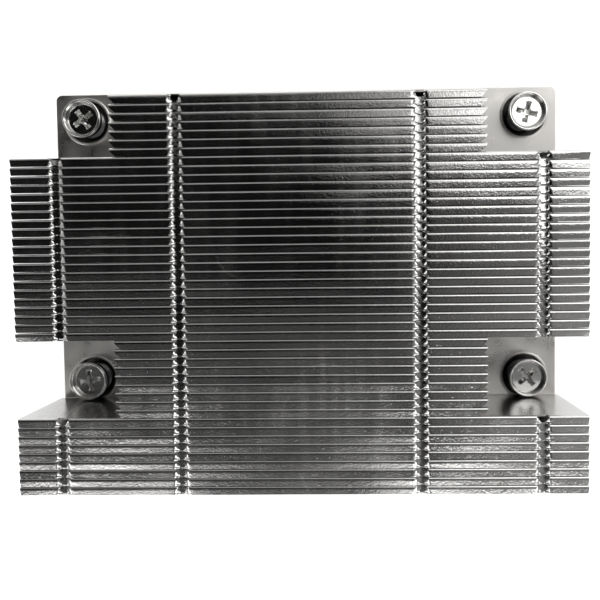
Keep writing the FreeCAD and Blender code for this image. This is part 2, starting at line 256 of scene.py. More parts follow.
def fold_profile(sizes, height):
    """The outside of a fin's C in its own plane, from the lower flange's edge to the tongue's tip.

    A straight flange, a quarter circle, a straight web, a quarter circle and a straight flange. Each
    row has the distance ahead of the fin's back, the height, and the normal's two parts. The web's,
    hole's and tongue's rows between stand at shares of their lengths.
    """
    radius, edge = sizes.fold, sizes.flange_gap - PITCH
    window = height - sizes.lock_depth
    quarter = np.linspace(0, math.pi / 2, 6)
    lower, upper = -quarter[::-1][1:-1], quarter[1:-1]
    web = np.array(
        [radius, 0.3 * height, 0.65 * height, window, 0.5 * (window + height - radius), height - radius]
    )
    hole = -sizes.hole_length
    flange = np.array([-radius, 0.6 * hole, 0.8 * hole, hole, 0.5 * (edge + hole), edge])
    tongue = edge - sizes.tongue * np.array([0.1, 0.25, 0.5, 0.72, 0.9, 1.0])
    level = np.concatenate([flange, tongue])
    lower_ahead, upper_ahead = radius * (np.cos(lower) - 1), radius * (np.cos(upper) - 1)
    ahead = np.concatenate([[edge, -radius], lower_ahead, 0 * web, upper_ahead, level])
    lower_rise, upper_rise = radius * (1 + np.sin(lower)), height - radius * (1 - np.sin(upper))
    rise = np.concatenate([[0, 0], lower_rise, web, upper_rise, 0 * level + height])
    down, up = [-math.pi / 2, -math.pi / 2], 0 * level + math.pi / 2
    turn = np.concatenate([down, lower, 0 * web, upper, up])
    return ahead, rise, np.cos(turn), np.sin(turn)


def fin_columns(sizes, half, locks):
    """Places along a fin at which its grid has columns: close together at locks and ends, wide between."""
    mouth = 0.5 * sizes.lock_mouth
    inside = mouth * np.array([0.27, TONGUE_LANES, 0.8, 1.0])
    beside = mouth + np.append(MM * np.array([0.1, 0.2, 0.3, 0.45, 0.65]), LOCK_MARGIN)
    near = np.concatenate([inside, beside, [0.0], -inside, -beside])
    at_locks = np.concatenate([centre + near for centre in locks])
    at_ends = half - np.append(np.array([0, 0.6, 1.4]) * MM, END_RUN)
    stops = np.unique(np.round(np.concatenate([at_locks, at_ends, -at_ends]), 7))
    gaps = np.diff(stops)
    parts = np.maximum(1, np.ceil(gaps / LONGEST_CELL)).astype(int)
    inner = [start + gap * np.arange(1, count) / count for start, gap, count in zip(stops, gaps, parts)]
    return np.sort(np.concatenate([stops, *inner]))


def lock_halves(sizes, ahead, rise, height):
    """Half the width, row by row, to which the columns inside a lock are drawn together.

    The web's window widens upward and the flange's hole narrows toward its front, both along straight
    lines. Past the hole the columns spread again to the root of the tongue, which ends in a taper.
    """
    mouth, foot, front = 0.5 * sizes.lock_mouth, 0.5 * sizes.lock_foot, 0.5 * sizes.hole_front
    edge, tolerance = sizes.flange_gap - PITCH, 0.01
    in_window = (rise - height + sizes.lock_depth) / sizes.lock_depth
    half = np.where(in_window < -tolerance, mouth, foot + (mouth - foot) * in_window)
    on_top = rise > height - (1 + tolerance) * sizes.fold
    narrowed = mouth - (mouth - front) * np.clip(-ahead / sizes.hole_length, 0, 1)
    half = np.where(on_top, np.minimum(half, narrowed), half)
    past_hole = np.clip((-ahead - sizes.hole_length) / (-edge - sizes.hole_length), 0, 1)
    half = np.where(on_top, half + (TONGUE_ROOT * mouth - front) * past_hole, half)
    into_next = edge - ahead
    free = mouth - (mouth - front) * (into_next - sizes.flange_gap) / sizes.hole_length - sizes.tongue_play
    tongue = np.minimum(0.5 * sizes.tongue_width, free)
    root, widening = TONGUE_ROOT * mouth * TONGUE_LANES, 0.25 * sizes.tongue
    tongue = root + (tongue - root) * np.clip(into_next / widening, 0, 1)
    return np.where(on_top & (into_next > NEAR), tongue / TONGUE_LANES, half)


def dimple_dip(sizes, across, ahead):
    """How far a dimple lowers the flange: a smooth step across the lock times one toward the free edge.

    Past the next fin's back the tongue rises again in proportion to its reach, so that its tip locks.
    """
    front_slope = 0.7 * MM
    side = smooth_step((0.5 * sizes.lock_mouth - np.abs(across)) / sizes.dimple_slope)
    front = smooth_step((-ahead - sizes.fold) / front_slope)
    return sizes.tongue_rise * np.maximum(-ahead - PITCH, 0) / sizes.tongue - sizes.dimple * side * front


def wave(rng, along, sizes_of_waves):
    """A sum of sines along a fin, each with its own length and a random phase."""
    total = np.zeros_like(along)
    for length, size in sizes_of_waves:
        total += size * np.sin(2 * math.pi * (along / length + rng.random()))
    return total


def fin_surface(sizes, box, locks, ended, number, mitre, dents):
    """A fin's points and faces: a profile carried along X, with the sheet's thickness inside it.

    At a lock, the columns are drawn together to the edges of the window, hole and tongue, and the
    flange dips. The web bows out of its plane and the flange's free edge rises and falls, each by a sum
    of sines along X, and a dent bends an end by a smooth step. The inner side is the outer one less
    the thickness times the surface's normal. An ended lock has no tongue, because no fin follows it.
    """
    low, high = box
    half, height = 0.5 * (high.x - low.x), high.z - low.z
    rng = np.random.default_rng(FIN_SEED + number)
    mouth = 0.5 * sizes.lock_mouth
    tongue_columns = TONGUE_LANES * mouth
    ahead, rise, out_y, out_z = fold_profile(sizes, height)
    columns = fin_columns(sizes, half, locks)
    nearest = np.array(locks)[np.argmin(np.abs(columns[:, None] - np.array(locks)), axis=1)]
    offset = columns - nearest
    reach = np.abs(offset)
    on_top = rise > height - NEAR
    past_edge = ahead < sizes.flange_gap - PITCH - NEAR

    narrow = lock_halves(sizes, ahead, rise, height)[:, None]
    drawn = mouth + LOCK_MARGIN
    outside = narrow + (reach - mouth) * (drawn - narrow) / (drawn - mouth)
    shifted = np.where(reach <= mouth, reach * narrow / mouth, np.where(reach < drawn, outside, reach))
    across = np.sign(offset) * shifted
    along = nearest + across

    cut_share = np.clip((-ahead - sizes.mitre_start) / (PITCH - sizes.flange_gap - sizes.mitre_start), 0, 1)
    cut = np.where(on_top, mitre * cut_share, 0)[:, None]
    past = np.clip((np.abs(along) - half + END_RUN) / END_RUN, 0, 1)
    along = along - np.sign(along) * cut * past

    lane, step = ahead[:, None], 0.01 * MM
    dip = dimple_dip(sizes, across, lane) * on_top[:, None]
    slope_x = (dimple_dip(sizes, across + step, lane) - dimple_dip(sizes, across - step, lane)) / (2 * step)
    slope_y = (dimple_dip(sizes, across, lane + step) - dimple_dip(sizes, across, lane - step)) / (2 * step)
    slope_x, slope_y = slope_x * on_top[:, None], slope_y * on_top[:, None]

    hinge = 0.5 * sizes.fold
    free = np.clip((-ahead - hinge) / (PITCH - hinge), 0, 1) * (out_z > 0)
    edge_waves = ((61 * MM, 0.5), (23 * MM, 0.4), (9 * MM, 0.2))
    web_waves, bow_at_top = ((140 * MM, 1.0), (47 * MM, 0.5)), 0.8
    tilt = sizes.flange_tilt * (rng.normal() + wave(rng, columns, edge_waves))
    bow = sizes.web_wave * wave(rng, columns, web_waves)
    level = (rise / height)[:, None]
    upper_quarter = smooth_step(4 * (level - 0.75))
    y = high.y + lane + bow_at_top * bow * smooth_step(level)
    z = low.z + rise[:, None] + dip + tilt * np.minimum(free, 1)[:, None]
    for side, length, drop, push in dents:
        bent = smooth_step((side * columns - half + length) / length)
        z = z - drop * bent * free[:, None]
        y = y + push * bent * upper_quarter

    outer = np.stack(np.broadcast_arrays(along, y, z), axis=-1)
    normal = np.stack(np.broadcast_arrays(-slope_x, out_y[:, None] - slope_y, out_z[:, None]), axis=-1)
    normal = normal / np.linalg.norm(normal, axis=-1, keepdims=True)
    inner = outer - sizes.sheet * normal
    points = np.concatenate([outer.reshape(-1, 3), inner.reshape(-1, 3)])

    in_hole = (rise > height - sizes.lock_depth - NEAR) & (ahead > -sizes.hole_length - NEAR)
    opening = (in_hole[:-1] & in_hole[1:])[:, None] & lanes_within(reach, mouth)
    at_end = np.isin(nearest[1:], ended) & np.isin(nearest[:-1], ended)
    beyond = past_edge[1:, None] & ~(lanes_within(reach, tongue_columns) & ~at_end)
    return points, sheet_faces(~(opening | beyond))


def lanes_within(reach, limit):
    """Which lanes between neighbouring columns lie inside a lock's limit."""
    return np.maximum(reach[1:], reach[:-1]) < limit + NEAR


def sheet_faces(present):
    """Quads of a sheet with two sides: both sides' cells that are present, and a rim where a cell ends.

    The points are the outer grid and then the inner one, each a row after the other.
    """
    rows, columns = present.shape[0] + 1, present.shape[1] + 1
    index = np.arange(rows * columns).reshape(rows, columns)
    inward = rows * columns
    a, b, c, d = index[:-1, :-1], index[1:, :-1], index[1:, 1:], index[:-1, 1:]
    outer = np.stack([a, b, c, d], axis=-1)[present]
    inner = np.stack([a, d, c, b], axis=-1)[present] + inward
    padded = np.pad(present, 1)
    rims = []
    for neighbour, start, end in (
        (padded[:-2, 1:-1], d, a),
        (padded[2:, 1:-1], b, c),
        (padded[1:-1, :-2], a, b),
        (padded[1:-1, 2:], c, d),
    ):
        ends = present & ~neighbour
        rims.append(np.stack([end, start, start + inward, end + inward], axis=-1)[ends])
    return [outer, inner, *rims]


def dents_of(number, first_middle, last_middle):
    """Where handling has bent a flange's end: side, length, drop of the free edge and push along Y."""
    if number == first_middle:
        return ((1, 3.5 * MM, 0.20 * MM, -0.1 * MM),)
    if number == last_middle:
        return ((-1, 12 * MM, 0.14 * MM, -0.1 * MM), (1, 2.5 * MM, 0.12 * MM, -0.05 * MM))
    return ()


class HEATSINK_OT_make_fins(bpy.types.Operator):
    """Make the stack of folded fins with their snap locks"""

    bl_idname = "heatsink.make_fins"
    bl_label = "Fins"

    def execute(self, context):
        sizes = context.scene.heatsink_fins
        material = rolled_sheet("fin_sheet", context.scene.heatsink_finish.fin)
        full = max(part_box(node)[1].x for node in FIN_NODES)
        middle = [i for i, node in enumerate(FIN_NODES, start=1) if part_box(node)[1].x > full - MM]
        last_middle = next(i for i in middle if i + 1 not in middle)
        for number, node in enumerate(FIN_NODES, start=1):
            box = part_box(node)
            locks, mitre = [-sizes.inner_lock, sizes.inner_lock], sizes.mitre
            if number in middle:
                locks, mitre = [-sizes.outer_lock, *locks, sizes.outer_lock], sizes.full_mitre
            ended = [lock for lock in locks if number == last_middle and abs(lock) > sizes.inner_lock + MM]
            ended = locks if number == len(FIN_NODES) else ended
            dents = dents_of(number, middle[0], last_middle)
            points, faces = fin_surface(sizes, box, locks, ended, number, mitre, dents)
            add_piece(f"folded_{node}", points, faces, material, body_of(node), [node])
        return {"FINISHED"}


# ---- base ----


class HEATSINK_OT_finish_base(bpy.types.Operator):
    """Give the base plate its plated finish"""

    bl_idname = "heatsink.finish_base"
    bl_label = "Base plate"

    def execute(self, context):
        node = FRAME["nodes"]["base_plate"]
        colour = context.scene.heatsink_finish.plate
        node.data.materials.clear()
        # The base's upright walls get painted shade.
        node.data.materials.append(plated_metal("plated_base", colour, roughness=0.30, painted_wall_shade=0.3))
        return {"FINISHED"}


class HEATSINK_OT_make_seats(bpy.types.Operator):
    """Make the pressed rings that line the four screw seats of the base, their floors and walls darkened as
    painted shade
    """

    bl_idname = "heatsink.make_seats"
    bl_label = "Seat rings"

    def execute(self, context):
        material = seat_metal_with_painted_shade("seat_ring", context.scene.heatsink_finish.plate)
        body = body_of("base_plate")
        for corner in CORNERS:
            points, faces = seat_ring_surface(screw_axis(corner))
            add_piece(f"seat_ring_{corner}", points, faces, material, body, [])
        return {"FINISHED"}


def seat_ring_surface(axis):
    """A ring's points and faces: a closed section turned about the axis, its top lip a low round bead.

    The section's points are a radius and a height in millimetres: along the floor, up the wall, over
    the bead and down the back.
    """
    section = np.array(
        [
            (2.35, 2.30),
            (2.35, 2.42),
            (4.20, 2.42),
            (4.38, 2.48),
            (4.44, 2.66),
            (4.44, 4.72),
            (4.50, 4.92),
            (4.62, 5.06),
            (4.80, 5.12),
            (4.98, 5.09),
            (5.12, 5.00),
            (5.16, 4.90),
            (4.70, 4.50),
            (4.60, 2.30),
        ]
    )
    sectors = 96
    angle = np.arange(sectors) * 2 * math.pi / sectors
    radius, height = section[:, :1] * MM, section[:, 1:] * MM
    across, up = axis.x + radius * np.cos(angle), axis.y + radius * np.sin(angle)
    grid = np.stack([across, up, height + 0 * angle], axis=-1)
    return grid.reshape(-1, 3), [tube_faces(len(section), sectors, ring=True)]


# ---- screws, springs and clips ----


def screw_axis(corner):
    """The point on a screw's axis at the base's underside."""
    low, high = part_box(f"screw_{corner}")
    return Vector((0.5 * (low.x + high.x), 0.5 * (low.y + high.y), 0))


def cross_recess(sizes, across, up):
    """Depth of the cross recess at a point of the driving face.

    The depth grows steeply from each arm's side wall and more gently from its end, up to the recess's
    depth, and a cone joins the four arms in the middle.
    """
    longer = np.maximum(np.abs(across), np.abs(up))
    shorter = np.minimum(np.abs(across), np.abs(up))
    wall_slope, end_slope, cone_slope = 6.0, 1.3, 2.2
    cone_radius = 1.7 * sizes.arm_half
    wall = wall_slope * (sizes.arm_half - shorter)
    end = end_slope * (sizes.arm_reach - longer)
    cone = cone_slope * (cone_radius - np.hypot(across, up))
    return np.clip(np.maximum(np.minimum(wall, end), cone), 0, sizes.cross_depth)


def turned_corner(corner_points, radius, steps=3):
    """Round the inner corners of a profile with arcs, each a quadratic curve between its two tangents."""
    most_of_a_side = 0.45
    points = [np.array(corner_points[0], float)]
    for before, here, after in zip(corner_points, corner_points[1:], corner_points[2:]):
        before, here, after = (np.array(point, float) for point in (before, here, after))
        back, on = before - here, after - here
        size = min(radius, most_of_a_side * np.linalg.norm(back), most_of_a_side * np.linalg.norm(on))
        start = here + back / np.linalg.norm(back) * size
        end = here + on / np.linalg.norm(on) * size
        for share in np.linspace(0, 1, steps + 1):
            points.append((1 - share) ** 2 * start + 2 * share * (1 - share) * here + share**2 * end)
    points.append(np.array(corner_points[-1], float))
    return np.array(points)


def screw_surface(sizes, box, axis, turn):
    """A screw's points and faces: a profile turned about the axis, with a cross recess and a thread.

    The face's height is its level less the recess's depth. The thread's radius falls from its crest by
    the thread's depth times a triangle wave of height over pitch less the turn's share.
    """
    low, high = box
    sectors = 120
    angle = np.arange(sectors) * 2 * math.pi / sectors
    head, rim, tip = 0.5 * (high.x - low.x), high.z, low.z
    floor = rim - sizes.cup_depth
    face = floor + sizes.face_height
    head_height, crest = 3.0 * MM, 2.0 * MM
    seat = rim - head_height
    groove_top, groove_floor = 1.05 * MM, 0.25 * MM
    face_edge, corner_round = 0.18 * MM, 0.16 * MM
    face_rows, thread_rows = 34, 64

    steps = np.linspace(0, 1, face_rows)[1:] * (sizes.face_radius - face_edge)
    radii = np.repeat(steps[:, None], sectors, axis=1)
    across, up = radii * np.cos(angle - turn), radii * np.sin(angle - turn)
    heights = face - cross_recess(sizes, across, up)

    corners = (
        (sizes.face_radius - face_edge, face),
        (sizes.face_radius, face),
        (sizes.face_radius, floor),
        (head - sizes.cup_wall, floor),
        (head - sizes.cup_wall, rim),
        (head, rim),
        (head, rim - 0.6 * MM),
        (head - sizes.cup_taper, seat),
        (sizes.shank, seat),
        (sizes.shank, groove_top),
        (sizes.groove, groove_top),
        (sizes.groove, groove_floor),
        (crest - 0.3 * MM, groove_floor),
        (crest, groove_floor - 0.3 * MM),
    )
    body = turned_corner(corners, corner_round)[1:-1]
    thread_z = np.linspace(groove_floor - 0.35 * MM, tip + 0.75 * MM, thread_rows)
    tip_rows = np.array(
        [
            [crest - 0.45 * MM, tip + 0.35 * MM],
            [crest - 0.75 * MM, tip + 0.04 * MM],
            [crest - 0.85 * MM, tip],
        ]
    )

    flank, crest_flat = 1.35, 0.1
    beat = (thread_z[:, None] / sizes.thread_pitch - angle / (2 * math.pi)) % 1
    ramp = np.clip(flank * np.abs(2 * beat - 1) - crest_flat, 0, 1)
    run_in = smooth_step((thread_z[0] - thread_z) / (0.5 * MM))
    run_out = smooth_step((thread_z - thread_z[-1]) / (0.7 * MM))
    ends = run_in * run_out
    thread_r = crest - sizes.thread_depth * (ramp * ends[:, None] + (1 - ends[:, None]))

    ring = np.ones(sectors)
    all_r = np.concatenate([radii, body[:, :1] * ring, thread_r, tip_rows[:, :1] * ring])
    all_z = np.concatenate([heights, body[:, 1:] * ring, thread_z[:, None] * ring, tip_rows[:, 1:] * ring])
    grid = np.stack([axis.x + all_r * np.cos(angle), axis.y + all_r * np.sin(angle), all_z], axis=-1)
    rows = len(all_r)
    middle = face - float(cross_recess(sizes, np.zeros(1), np.zeros(1))[0])
    poles = np.array([[axis.x, axis.y, middle], [axis.x, axis.y, tip]])
    points = np.concatenate([grid.reshape(-1, 3), poles])
    return points, [tube_faces(rows, sectors)[:, ::-1], *pole_fans(rows, sectors)]


def pole_fans(rows, sectors):
    """Triangles that close a turned grid at its two poles, whose points follow the grid's."""
    here = np.arange(sectors)
    following = (here + 1) % sectors
    last = (rows - 1) * sectors
    first_pole = np.full(sectors, rows * sectors)
    top = np.stack([first_pole, here, following], axis=-1)
    bottom = np.stack([first_pole + 1, last + following, last + here], axis=-1)
    return [top, bottom]


class HEATSINK_OT_make_screws(bpy.types.Operator):
    """Make the captive screws with cupped heads, cross recesses and threads"""

    bl_idname = "heatsink.make_screws"
    bl_label = "Captive screws"

    def execute(self, context):
        sizes = context.scene.heatsink_hardware
        material = plated_metal("screw_plating", context.scene.heatsink_finish.screw, roughness=0.12)
        degrees = {"back_left": 35.0, "back_right": -14.0, "front_left": 8.0, "front_right": 40.0}
        for corner in CORNERS:
            node = f"screw_{corner}"
            turn = math.radians(degrees[corner])
            points, faces = screw_surface(sizes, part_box(node), screw_axis(corner), turn)
            add_piece(f"turned_{node}", points, faces, material, body_of(node), [node])
        return {"FINISHED"}


def carried_tube(path, radius, sides):
    """A round tube along a path: circles across the path's tangent, in a frame held upright."""
    tangent = np.gradient(path, axis=0)
    tangent /= np.linalg.norm(tangent, axis=1, keepdims=True)
    sideways = np.cross(tangent, [0.0, 0.0, 1.0])
    sideways /= np.linalg.norm(sideways, axis=1, keepdims=True)
    upward = np.cross(sideways, tangent)
    angle = np.arange(sides) * 2 * math.pi / sides
    circle = np.cos(angle)[:, None] * sideways[:, None, :] + np.sin(angle)[:, None] * upward[:, None, :]
    rings = path[:, None, :] + radius * circle
    points = np.concatenate([rings.reshape(-1, 3), path[:1], path[-1:]])
    return points, [tube_faces(len(path), sides), *[fan[:, ::-1] for fan in pole_fans(len(path), sides)]]


def spring_path(sizes, box, axis):
    """A spring's centre line: a circle that climbs by the wire's diameter a turn in its closed ends.

    Between the ends it climbs the rest, partly by a smooth step and partly evenly, so that its turns
    open gradually.
    """
    low, high = box
    wire, turns = sizes.spring_wire, sizes.spring_turns
    closed, steps_of_a_turn = 0.9, 36
    stepped_share, even_share = 0.35, 0.65
    mean = 0.5 * (high.x - low.x) - 0.5 * wire
    turn = np.linspace(0, turns, int(turns * steps_of_a_turn))
    rise = wire * np.minimum(turn, closed) + wire * np.maximum(turn - turns + closed, 0)
    stepped = smooth_step((turn - 0.5 * closed) / (turns - closed))
    even = np.clip((turn - closed) / (turns - 2 * closed), 0, 1)
    climb = high.z - low.z - wire - 2 * closed * wire
    height = low.z + 0.5 * wire + rise + climb * (stepped_share * stepped + even_share * even)
    angle = 2 * math.pi * turn
    return np.stack([axis.x + mean * np.cos(angle), axis.y + mean * np.sin(angle), height], axis=-1)


class HEATSINK_OT_make_springs(bpy.types.Operator):
    """Make the springs that stand between the base and the screws' heads"""

    bl_idname = "heatsink.make_springs"
    bl_label = "Springs"

    def execute(self, context):
        sizes = context.scene.heatsink_hardware
        material = plated_metal("spring_steel", context.scene.heatsink_finish.spring, roughness=0.28)
        sides, sharp = 12, 60
        for corner in CORNERS:
            node = f"spring_{corner}"
            low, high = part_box(node)
            axis = screw_axis(corner)
            path = spring_path(sizes, (low, high), axis)
            points, faces = carried_tube(path, 0.5 * sizes.spring_wire, sides)
            body = body_of(node)
            piece = add_piece(f"wound_{node}", points, faces, material, body, [node], sharp)
            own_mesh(piece)
        return {"FINISHED"}


def clip_surface(box, axis):
    """An open retaining clip: a bevelled section carried round an arc, its inside drawn in at three grips.

    A grip is a smooth step that falls with the angle from its middle. Toward the clip's two ends the
    section narrows by a quarter circle.
    """
    low, high = box
    outer = 0.5 * (high.x - low.x)
    grip, relief, mouth = 1.58 * MM, 2.35 * MM, 1.4 * MM
    spread, from_end, stations = math.asin(mouth / outer), 0.35, 150
    grip_level, grip_fall = 1.9, 4.2
    end_round, bevel = 0.5 * MM, 0.07 * MM
    turn = np.linspace(spread, 2 * math.pi - spread, stations) - 0.5 * math.pi
    gripping = np.zeros_like(turn)
    for place in (spread + from_end, math.pi, 2 * math.pi - spread - from_end):
        from_grip = np.abs(turn + 0.5 * math.pi - place)
        gripping = np.maximum(gripping, smooth_step(grip_level - grip_fall * from_grip))
    inner = relief + (grip - relief) * gripping
    ends = np.minimum(turn - turn[0], turn[-1] - turn) * outer
    rounding = end_round * (1 - np.sqrt(np.clip(1 - (1 - np.clip(ends / end_round, 0, 1)) ** 2, 0, 1)))
    inner, rim = inner + rounding, outer - rounding
    bottom, top = low.z, high.z
    section = [
        (inner, bottom + bevel),
        (inner + bevel, bottom),
        (rim - bevel, bottom),
        (rim, bottom + bevel),
        (rim, top - bevel),
        (rim - bevel, top),
        (inner + bevel, top),
        (inner, top - bevel),
    ]
    rings = [
        np.stack([axis.x + r * np.cos(turn), axis.y + r * np.sin(turn), np.full_like(turn, z)], axis=-1)
        for r, z in section
    ]
    grid = np.stack(rings, axis=1)
    centres = np.stack([grid[0].mean(axis=0), grid[-1].mean(axis=0)])
    points = np.concatenate([grid.reshape(-1, 3), centres])
    sides = len(section)
    fans = [fan[:, ::-1] for fan in pole_fans(len(turn), sides)]
    return points, [tube_faces(len(turn), sides), *fans]


class HEATSINK_OT_make_clips(bpy.types.Operator):
    """Make the retaining clips that keep the screws captive"""

    bl_idname = "heatsink.make_clips"
    bl_label = "Retaining clips"

    def execute(self, context):
        material = plated_metal("clip_steel", context.scene.heatsink_finish.clip, roughness=0.35)
        for corner in CORNERS:
            node = f"clip_{corner}"
            points, faces = clip_surface(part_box(node), screw_axis(corner))
            add_piece(f"sprung_{node}", points, faces, material, body_of(node), [node])
        return {"FINISHED"}


# ---- materials ----


def new_material(name):
    """A material, its node tree, its shader, and the function that adds nodes to it."""
    material = bpy.data.materials.new(name)
    material.use_nodes = True
    tree = material.node_tree
    shader = tree.nodes["Principled BSDF"]
    shader.inputs["Metallic"].default_value = 1.0
    return material, tree, shader, node_adder(tree)


def node_adder(tree):
    """A function that adds a node to a tree, with its settings and its links."""

    def add(kind, links=(), **settings):
        node = tree.nodes.new(kind)
        for key, setting in settings.items():
            if key.startswith("input_"):
                node.inputs[key.removeprefix("input_").replace("_", " ")].default_value = setting
            else:
                setattr(node, key, setting)
        for socket, source in links:
            tree.links.new(source, node.inputs[socket])
        return node

    return add


def stretched(add, where, scale):
    """Object coordinates stretched by a scale along each axis."""
    return add("ShaderNodeMapping", [("Vector", where)], input_Scale=scale).outputs["Vector"]


def remap(add, source, low, high, to_low, to_high, interpolation="LINEAR"):
    """A value remapped from one range to another and held inside it."""
    node = add("ShaderNodeMapRange", [("Value", source)], interpolation_type=interpolation)
    for socket, number in (("From Min", low), ("From Max", high), ("To Min", to_low), ("To Max", to_high)):
        node.inputs[socket].default_value = number
    return node.outputs["Result"]


def noise(add, vector, scale, detail=2.0):
    """Noise over a vector."""
    node = add("ShaderNodeTexNoise", [("Vector", vector)], input_Scale=scale, input_Detail=detail)
    return node.outputs["Fac"]


def grey(add, value):
    """A grey colour from one value."""
    return add("ShaderNodeCombineColor", [("Red", value), ("Green", value), ("Blue", value)]).outputs["Color"]


def maths(add, operation, first, second=0.0):
    """A sum on one value or two, of which the second may be a plain number."""
    node = add("ShaderNodeMath", operation=operation)
    for socket, source in zip(node.inputs, (first, second)):
        if isinstance(source, (int, float)):
            socket.default_value = source
        else:
            node.id_data.links.new(source, socket)
    return node.outputs[0]


def shade(tree, add, shader, colour, tint, roughness, bump, strength, distance):
    """Link a colour varied by a tint, a roughness and a bump to a shader."""
    mix = add("ShaderNodeMix", data_type="RGBA", blend_type="MULTIPLY")
    mix.inputs["Factor"].default_value = 1.0
    mix.inputs["A"].default_value = (*colour, 1.0)
    tree.links.new(tint, mix.inputs["B"])
    tree.links.new(mix.outputs["Result"], shader.inputs["Base Color"])
    tree.links.new(roughness, shader.inputs["Roughness"])
    relief = add("ShaderNodeBump", [("Height", bump)])
    relief.inputs["Strength"].default_value = strength
    relief.inputs["Distance"].default_value = distance
    tree.links.new(relief.outputs["Normal"], shader.inputs["Normal"])


def scratches(add, where, scale, width):
    """Thin curved lines: where a wide noise passes its middle value, kept only in patches."""
    field = noise(add, where, scale, 1.0)
    line = maths(add, "ABSOLUTE", maths(add, "SUBTRACT", field, 0.5))
    thin = remap(add, line, 0.0, width, 1.0, 0.0)
    patch = remap(add, noise(add, where, 1.7 * scale), 0.5, 0.62, 0.0, 1.0)
    return maths(add, "MULTIPLY", thin, patch)


def uprightness(add):
    """1 on upright walls and 0 on level faces, from the height of the surface's normal."""
    facing = add("ShaderNodeSeparateXYZ", [(0, add("ShaderNodeNewGeometry").outputs["Normal"])]).outputs["Z"]
    return remap(add, maths(add, "ABSOLUTE", facing), 0.1, 0.5, 1.0, 0.0)


def rolled_sheet(name, colour):
    """Bright rolled aluminium: mottled grain, soft clouds, pits and a few scratches, rougher on the webs,
    whose colour is darkened as painted shade.
    """
    material, tree, shader, add = new_material(name)
    where = add("ShaderNodeTexCoord").outputs["Object"]
    grain = noise(add, where, 2900.0)
    streak = noise(add, stretched(add, where, (420, 60, 60)), 1.0)
    cloud = noise(add, stretched(add, where, (34, 60, 60)), 1.0)
    marks = maths(add, "MULTIPLY", scratches(add, where, 33.0, 0.003), 0.5)
    pits = remap(add, noise(add, where, 2100.0, 1.0), 0.70, 0.78, 0.0, 1.0)
    streaked, clouded = remap(add, streak, 0.3, 0.7, 0.09, 0.15), remap(add, cloud, 0.3, 0.7, -0.03, 0.05)
    rough = maths(add, "ADD", streaked, clouded)
    rough = maths(add, "ADD", rough, maths(add, "MULTIPLY", marks, 0.15))
    height = maths(add, "SUBTRACT", grain, maths(add, "MULTIPLY", maths(add, "ADD", marks, pits), 0.35))
    web, web_roughening, painted_web_shade_depth = uprightness(add), 0.10, 0.42
    rough = maths(add, "ADD", rough, maths(add, "MULTIPLY", web, web_roughening))
    # Painted shade: the upright webs' colour is darkened by this depth; their added roughness above is real.
    painted_web_shade = maths(add, "MULTIPLY", web, painted_web_shade_depth)
    bright = maths(add, "SUBTRACT", remap(add, cloud, 0.3, 0.7, 0.89, 1.0), painted_web_shade)
    shade(tree, add, shader, colour, grey(add, bright), rough, height, strength=0.6, distance=0.000025)
    return material


def plated_metal(name, colour, roughness, painted_wall_shade=0.0):
    """Plated metal: faint clouds in its gloss, fine pits and short scratches, and upright walls darkened as
    painted shade.
    """
    material, tree, shader, add = new_material(name)
    where = add("ShaderNodeTexCoord").outputs["Object"]
    cloud = noise(add, where, 180.0, 3.0)
    fine = noise(add, where, 1500.0)
    marks = scratches(add, where, 150.0, 0.006)
    clouded = remap(add, cloud, 0.3, 0.7, 0.8 * roughness, 1.3 * roughness)
    rough = maths(add, "ADD", clouded, maths(add, "MULTIPLY", marks, 0.2))
    height = maths(add, "SUBTRACT", fine, maths(add, "MULTIPLY", marks, 0.7))
    # Painted shade: upright walls are darkened in colour by this depth.
    wall = maths(add, "MULTIPLY", uprightness(add), painted_wall_shade)
    bright = maths(add, "SUBTRACT", remap(add, cloud, 0.3, 0.7, 0.92, 1.0), wall)
    shade(tree, add, shader, colour, grey(add, bright), rough, height, strength=0.2, distance=0.00002)
    return material


def seat_metal_with_painted_shade(name, colour):
    """The base's plating in a seat: darkened toward the bottom as painted shade, at full strength on the
    ring's lip.
    """
    material, tree, shader, add = new_material(name)
    where = add("ShaderNodeTexCoord").outputs["Object"]
    height = add("ShaderNodeSeparateXYZ", [(0, where)]).outputs["Z"]
    cloud = noise(add, where, 900.0, 3.0)
    # Painted shade: the colour falls to a tenth toward the seat's bottom, where shade falls in the recess.
    shaded_below, unshaded_above, painted_shade_tone = 3.9 * MM, 4.95 * MM, 0.10
    painted_seat_shade = remap(add, height, shaded_below, unshaded_above, painted_shade_tone, 1.0)
    tone = maths(add, "MULTIPLY", painted_seat_shade, remap(add, cloud, 0.3, 0.7, 0.85, 1.0))
    rough = remap(add, cloud, 0.3, 0.7, 0.26, 0.40)
    shade(tree, add, shader, colour, grey(add, tone), rough, cloud, strength=0.15, distance=0.00002)
    return material


# ---- studio ----


